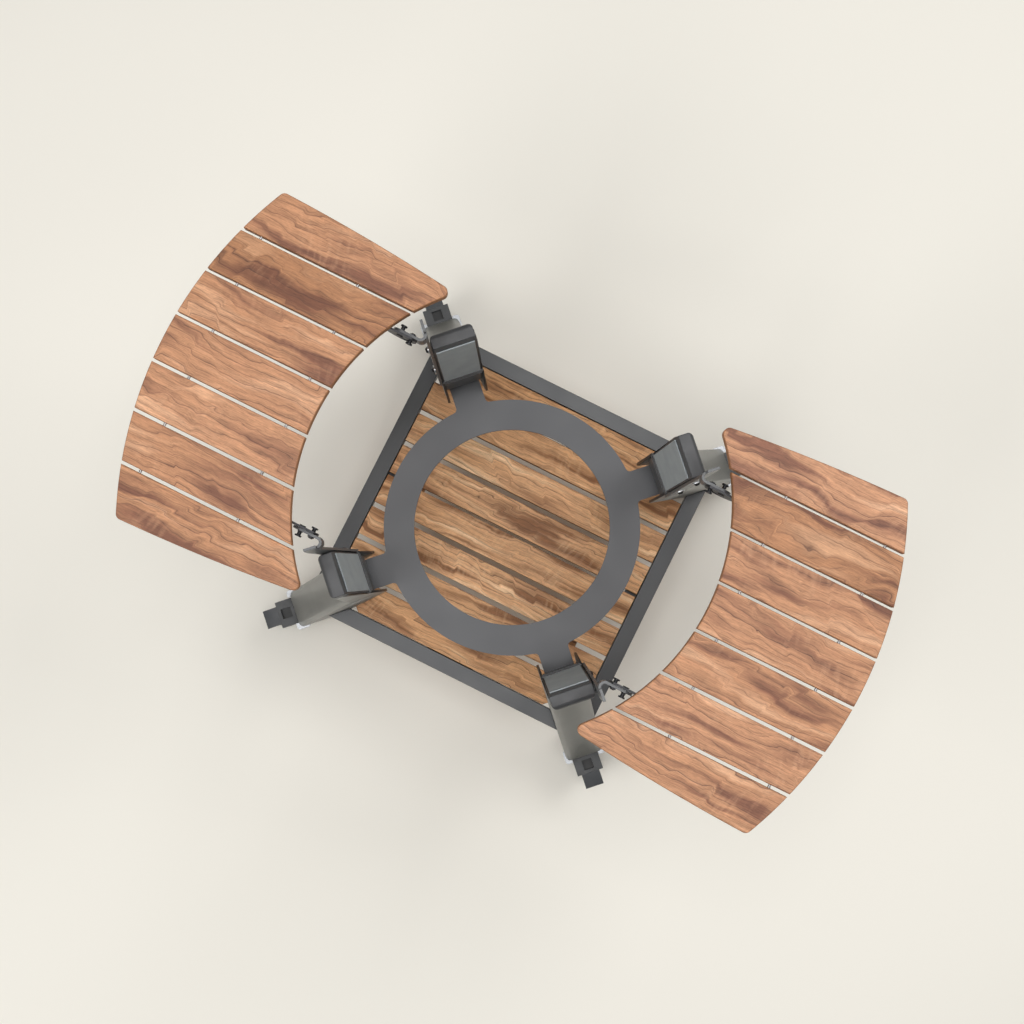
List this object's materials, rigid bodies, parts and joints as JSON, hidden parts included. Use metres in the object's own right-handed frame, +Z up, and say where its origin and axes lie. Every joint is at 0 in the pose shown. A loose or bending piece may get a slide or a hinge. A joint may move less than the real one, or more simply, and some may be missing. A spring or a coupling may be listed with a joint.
{
  "type": "kamado grill table",
  "caption": "Kamado grill table: four folded steel legs on braked casters with a ring plate, a slatted lower shelf and two fold-down slatted side tables.",
  "frame": {"origin": "on the floor under the centre of the ring plate", "axes": "+X towards the right side table, +Y towards the back, +Z up"},
  "size_m": [1.0896, 0.723, 0.907],
  "materials": {
    "leg_paint": "satin warm grey powder coat",
    "ring_paint": "satin dark grey powder coat",
    "frame_paint": "satin dark grey powder coat",
    "bracket_paint": "satin grey powder coat on folded steel",
    "black_steel": "black coated steel",
    "cap_plastic": "fine grained black moulding",
    "pad_rubber": "matte grey pad",
    "zinc": "bright zinc plate",
    "table_wood": "sealed reddish brown hardwood",
    "shelf_wood": "sealed tan hardwood",
    "brake_plastic": "dark grey moulding",
    "wheel_hub": "grey moulded wheel centre",
    "tyre_rubber": "dark grey non-marking tread"
  },
  "bodies": {
    "stand": {"ring_plate": "ring_paint", "ring_screws": "black_steel", "leg_back_right": "leg_paint", "leg_back_left": "leg_paint", "leg_front_left": "leg_paint", "leg_front_right": "leg_paint", "cap_back_right": "cap_plastic", "cap_back_left": "cap_plastic", "cap_front_left": "cap_plastic", "cap_front_right": "cap_plastic", "cap_pads": "pad_rubber", "bracket_back_right": "bracket_paint", "bracket_back_left": "bracket_paint", "bracket_front_left": "bracket_paint", "bracket_front_right": "bracket_paint", "bracket_bolts": "black_steel", "bracket_washers": "zinc", "hinge_pins": "black_steel", "clamp_bolts": "black_steel", "shelf_frame": "frame_paint", "shelf_ledges": "frame_paint", "shelf_slats": "shelf_wood", "shelf_battens": "shelf_wood", "caster_bolts": "zinc", "caster_plate_back_right": "zinc", "caster_plate_back_left": "zinc", "caster_plate_front_left": "zinc", "caster_plate_front_right": "zinc"},
    "right_table": {"right_table_slats": "table_wood", "right_table_rails": "black_steel", "right_table_rods": "zinc", "right_rail_screws": "black_steel"},
    "left_table": {"left_table_slats": "table_wood", "left_table_rails": "black_steel", "left_table_rods": "zinc", "left_rail_screws": "black_steel"},
    "caster_back_right": {"caster_fork_back_right": "zinc", "caster_axle_back_right": "zinc", "brake_housing_back_right": "brake_plastic"},
    "wheel_back_right": {"wheel_hub_back_right": "wheel_hub", "wheel_tyre_back_right": "tyre_rubber"},
    "pedal_back_right": {"brake_pedal_back_right": "brake_plastic"},
    "caster_back_left": {"caster_fork_back_left": "zinc", "caster_axle_back_left": "zinc", "brake_housing_back_left": "brake_plastic"},
    "wheel_back_left": {"wheel_hub_back_left": "wheel_hub", "wheel_tyre_back_left": "tyre_rubber"},
    "pedal_back_left": {"brake_pedal_back_left": "brake_plastic"},
    "caster_front_left": {"caster_fork_front_left": "zinc", "caster_axle_front_left": "zinc", "brake_housing_front_left": "brake_plastic"},
    "wheel_front_left": {"wheel_hub_front_left": "wheel_hub", "wheel_tyre_front_left": "tyre_rubber"},
    "pedal_front_left": {"brake_pedal_front_left": "brake_plastic"},
    "caster_front_right": {"caster_fork_front_right": "zinc", "caster_axle_front_right": "zinc", "brake_housing_front_right": "brake_plastic"},
    "wheel_front_right": {"wheel_hub_front_right": "wheel_hub", "wheel_tyre_front_right": "tyre_rubber"},
    "pedal_front_right": {"brake_pedal_front_right": "brake_plastic"}
  },
  "joints": [
    {"name": "right_table_fold", "type": "hinge", "parent": "stand", "child": "right_table", "pos_m": [0.254, 0, 0.873], "axis": [0, 1, 0], "range_deg": [0, 90]},
    {"name": "left_table_fold", "type": "hinge", "parent": "stand", "child": "left_table", "pos_m": [-0.254, 0, 0.873], "axis": [0, -1, 0], "range_deg": [0, 90]},
    {"name": "caster_back_right_swivel", "type": "hinge", "parent": "stand", "child": "caster_back_right", "pos_m": [0.27648, 0.27648, 0.11], "axis": [0, 0, 1], "continuous": true},
    {"name": "caster_back_right_roll", "type": "hinge", "parent": "caster_back_right", "child": "wheel_back_right", "pos_m": [0.30335, 0.30335, 0.05], "axis": [-0.7071, 0.7071, 0], "continuous": true},
    {"name": "caster_back_right_brake", "type": "hinge", "parent": "caster_back_right", "child": "pedal_back_right", "pos_m": [0.31749, 0.31749, 0.10375], "axis": [-0.7071, 0.7071, 0], "range_deg": [0, 8]},
    {"name": "caster_back_left_swivel", "type": "hinge", "parent": "stand", "child": "caster_back_left", "pos_m": [-0.27648, 0.27648, 0.11], "axis": [0, 0, 1], "continuous": true},
    {"name": "caster_back_left_roll", "type": "hinge", "parent": "caster_back_left", "child": "wheel_back_left", "pos_m": [-0.30335, 0.30335, 0.05], "axis": [-0.7071, -0.7071, 0], "continuous": true},
    {"name": "caster_back_left_brake", "type": "hinge", "parent": "caster_back_left", "child": "pedal_back_left", "pos_m": [-0.31749, 0.31749, 0.10375], "axis": [-0.7071, -0.7071, 0], "range_deg": [0, 8]},
    {"name": "caster_front_left_swivel", "type": "hinge", "parent": "stand", "child": "caster_front_left", "pos_m": [-0.27648, -0.27648, 0.11], "axis": [0, 0, 1], "continuous": true},
    {"name": "caster_front_left_roll", "type": "hinge", "parent": "caster_front_left", "child": "wheel_front_left", "pos_m": [-0.30335, -0.30335, 0.05], "axis": [0.7071, -0.7071, 0], "continuous": true},
    {"name": "caster_front_left_brake", "type": "hinge", "parent": "caster_front_left", "child": "pedal_front_left", "pos_m": [-0.31749, -0.31749, 0.10375], "axis": [0.7071, -0.7071, 0], "range_deg": [0, 8]},
    {"name": "caster_front_right_swivel", "type": "hinge", "parent": "stand", "child": "caster_front_right", "pos_m": [0.27648, -0.27648, 0.11], "axis": [0, 0, 1], "continuous": true},
    {"name": "caster_front_right_roll", "type": "hinge", "parent": "caster_front_right", "child": "wheel_front_right", "pos_m": [0.30335, -0.30335, 0.05], "axis": [0.7071, 0.7071, 0], "continuous": true},
    {"name": "caster_front_right_brake", "type": "hinge", "parent": "caster_front_right", "child": "pedal_front_right", "pos_m": [0.31749, -0.31749, 0.10375], "axis": [0.7071, 0.7071, 0], "range_deg": [0, 8]}
  ]
}
